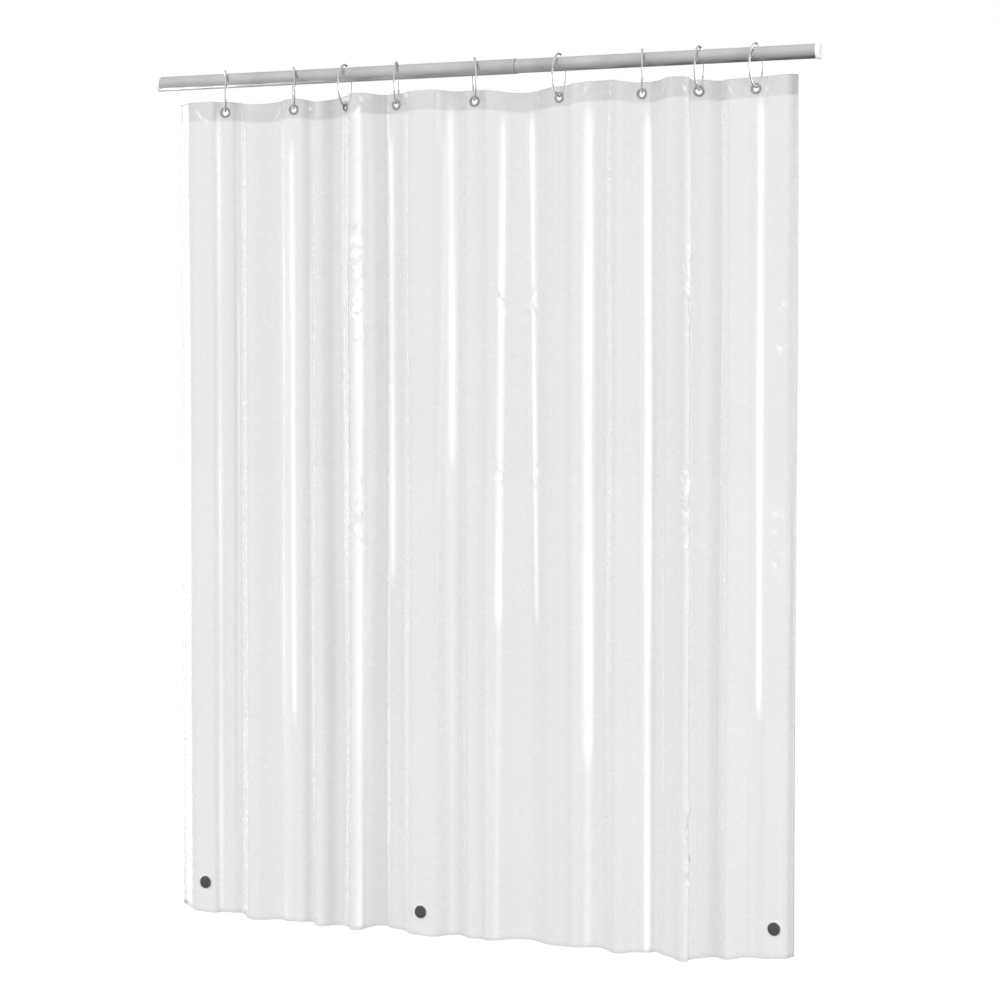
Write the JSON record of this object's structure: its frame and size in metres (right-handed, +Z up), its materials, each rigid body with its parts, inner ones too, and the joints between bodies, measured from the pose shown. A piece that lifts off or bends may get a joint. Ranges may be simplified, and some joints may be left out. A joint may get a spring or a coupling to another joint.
{
  "type": "shower curtain",
  "caption": "Clear film shower curtain hung by wire rings through metal eyelets from a telescopic tension rod, with black magnets in pockets along its bottom edge.",
  "frame": {"origin": "on the rod's axis, at the middle of the hung curtain", "axes": "+Z up, +X along the rod towards its thinner tube, -Y is the side that the curtain's magnets are on"},
  "size_m": [1.568, 0.0773, 1.9003],
  "materials": {
    "rod_steel": "satin",
    "ring_chrome": "polished",
    "foot_rubber": "matte",
    "plug_plastic": "matte",
    "spring_steel": "satin",
    "curtain_film": "gloss",
    "header_film": "gloss",
    "magnet_black": "satin"
  },
  "bodies": {
    "rod_outer": {"outer_tube": "rod_steel", "left_foot": "foot_rubber", "left_end_plug": "plug_plastic", "spring_stop": "plug_plastic", "tension_spring": "spring_steel"},
    "rod_inner": {"inner_tube": "rod_steel", "right_foot": "foot_rubber", "right_end_plug": "plug_plastic", "spring_plug": "plug_plastic"},
    "curtain": {"curtain_sheet": "curtain_film", "header_band": "header_film", "ring_1": "ring_chrome", "eyelet_1": "ring_chrome", "washer_1": "ring_chrome"},
    "ring_2": {"ring_2": "ring_chrome", "eyelet_2": "ring_chrome", "washer_2": "ring_chrome"},
    "ring_3": {"ring_3": "ring_chrome", "eyelet_3": "ring_chrome", "washer_3": "ring_chrome"},
    "ring_4": {"ring_4": "ring_chrome", "eyelet_4": "ring_chrome", "washer_4": "ring_chrome"},
    "ring_5": {"ring_5": "ring_chrome", "eyelet_5": "ring_chrome", "washer_5": "ring_chrome"},
    "ring_6": {"ring_6": "ring_chrome", "eyelet_6": "ring_chrome", "washer_6": "ring_chrome"},
    "ring_7": {"ring_7": "ring_chrome", "eyelet_7": "ring_chrome", "washer_7": "ring_chrome"},
    "ring_8": {"ring_8": "ring_chrome", "eyelet_8": "ring_chrome", "washer_8": "ring_chrome"},
    "ring_9": {"ring_9": "ring_chrome", "eyelet_9": "ring_chrome", "washer_9": "ring_chrome"},
    "weight_left": {"magnet_left": "magnet_black", "magnet_pocket_left": "header_film"},
    "weight_middle": {"magnet_middle": "magnet_black", "magnet_pocket_middle": "header_film"},
    "weight_right": {"magnet_right": "magnet_black", "magnet_pocket_right": "header_film"}
  },
  "joints": [
    {"name": "rod_extend", "type": "slide", "parent": "rod_outer", "child": "rod_inner", "axis": [1, 0, 0], "range_m": [-0.04, 0.06], "deforming": ["tension_spring"]},
    {"name": "curtain_swing", "type": "hinge", "parent": "rod_outer", "child": "curtain", "pos_m": [0, 0, 0], "axis": [1, 0, 0], "range_deg": [-12, 12]},
    {"name": "curtain_draw", "type": "slide", "parent": "curtain", "child": "ring_9", "axis": [1, 0, 0], "range_m": [-0.8785, 0], "deforming": ["curtain_sheet", "header_band"]},
    {"name": "ring_2_slide", "type": "slide", "parent": "curtain", "child": "ring_2", "axis": [1, 0, 0], "range_m": [-0.1223, 0]},
    {"name": "ring_3_slide", "type": "slide", "parent": "curtain", "child": "ring_3", "axis": [1, 0, 0], "range_m": [-0.2119, 0]},
    {"name": "ring_4_slide", "type": "slide", "parent": "curtain", "child": "ring_4", "axis": [1, 0, 0], "range_m": [-0.3001, 0]},
    {"name": "ring_5_slide", "type": "slide", "parent": "curtain", "child": "ring_5", "axis": [1, 0, 0], "range_m": [-0.4317, 0]},
    {"name": "ring_6_slide", "type": "slide", "parent": "curtain", "child": "ring_6", "axis": [1, 0, 0], "range_m": [-0.5703, 0]},
    {"name": "ring_7_slide", "type": "slide", "parent": "curtain", "child": "ring_7", "axis": [1, 0, 0], "range_m": [-0.7026, 0]},
    {"name": "ring_8_slide", "type": "slide", "parent": "curtain", "child": "ring_8", "axis": [1, 0, 0], "range_m": [-0.7915, 0]},
    {"name": "weight_left_slide", "type": "slide", "parent": "curtain", "child": "weight_left", "axis": [1, 0, 0], "range_m": [0, 0.032]},
    {"name": "weight_middle_slide", "type": "slide", "parent": "curtain", "child": "weight_middle", "axis": [1, 0, 0], "range_m": [-0.3526, 0]},
    {"name": "weight_right_slide", "type": "slide", "parent": "curtain", "child": "weight_right", "axis": [1, 0, 0], "range_m": [-0.914, 0]}
  ],
  "couplings": [
    {"joint": "ring_2_slide", "follows": "curtain_draw", "ratio": 0.13864},
    {"joint": "ring_3_slide", "follows": "curtain_draw", "ratio": 0.24064},
    {"joint": "ring_4_slide", "follows": "curtain_draw", "ratio": 0.34104},
    {"joint": "ring_5_slide", "follows": "curtain_draw", "ratio": 0.49084},
    {"joint": "ring_6_slide", "follows": "curtain_draw", "ratio": 0.64861},
    {"joint": "ring_7_slide", "follows": "curtain_draw", "ratio": 0.7992},
    {"joint": "ring_8_slide", "follows": "curtain_draw", "ratio": 0.9004},
    {"joint": "weight_left_slide", "follows": "curtain_draw", "ratio": -0.035857},
    {"joint": "weight_middle_slide", "follows": "curtain_draw", "ratio": 0.4008},
    {"joint": "weight_right_slide", "follows": "curtain_draw", "ratio": 1.0398}
  ]
}
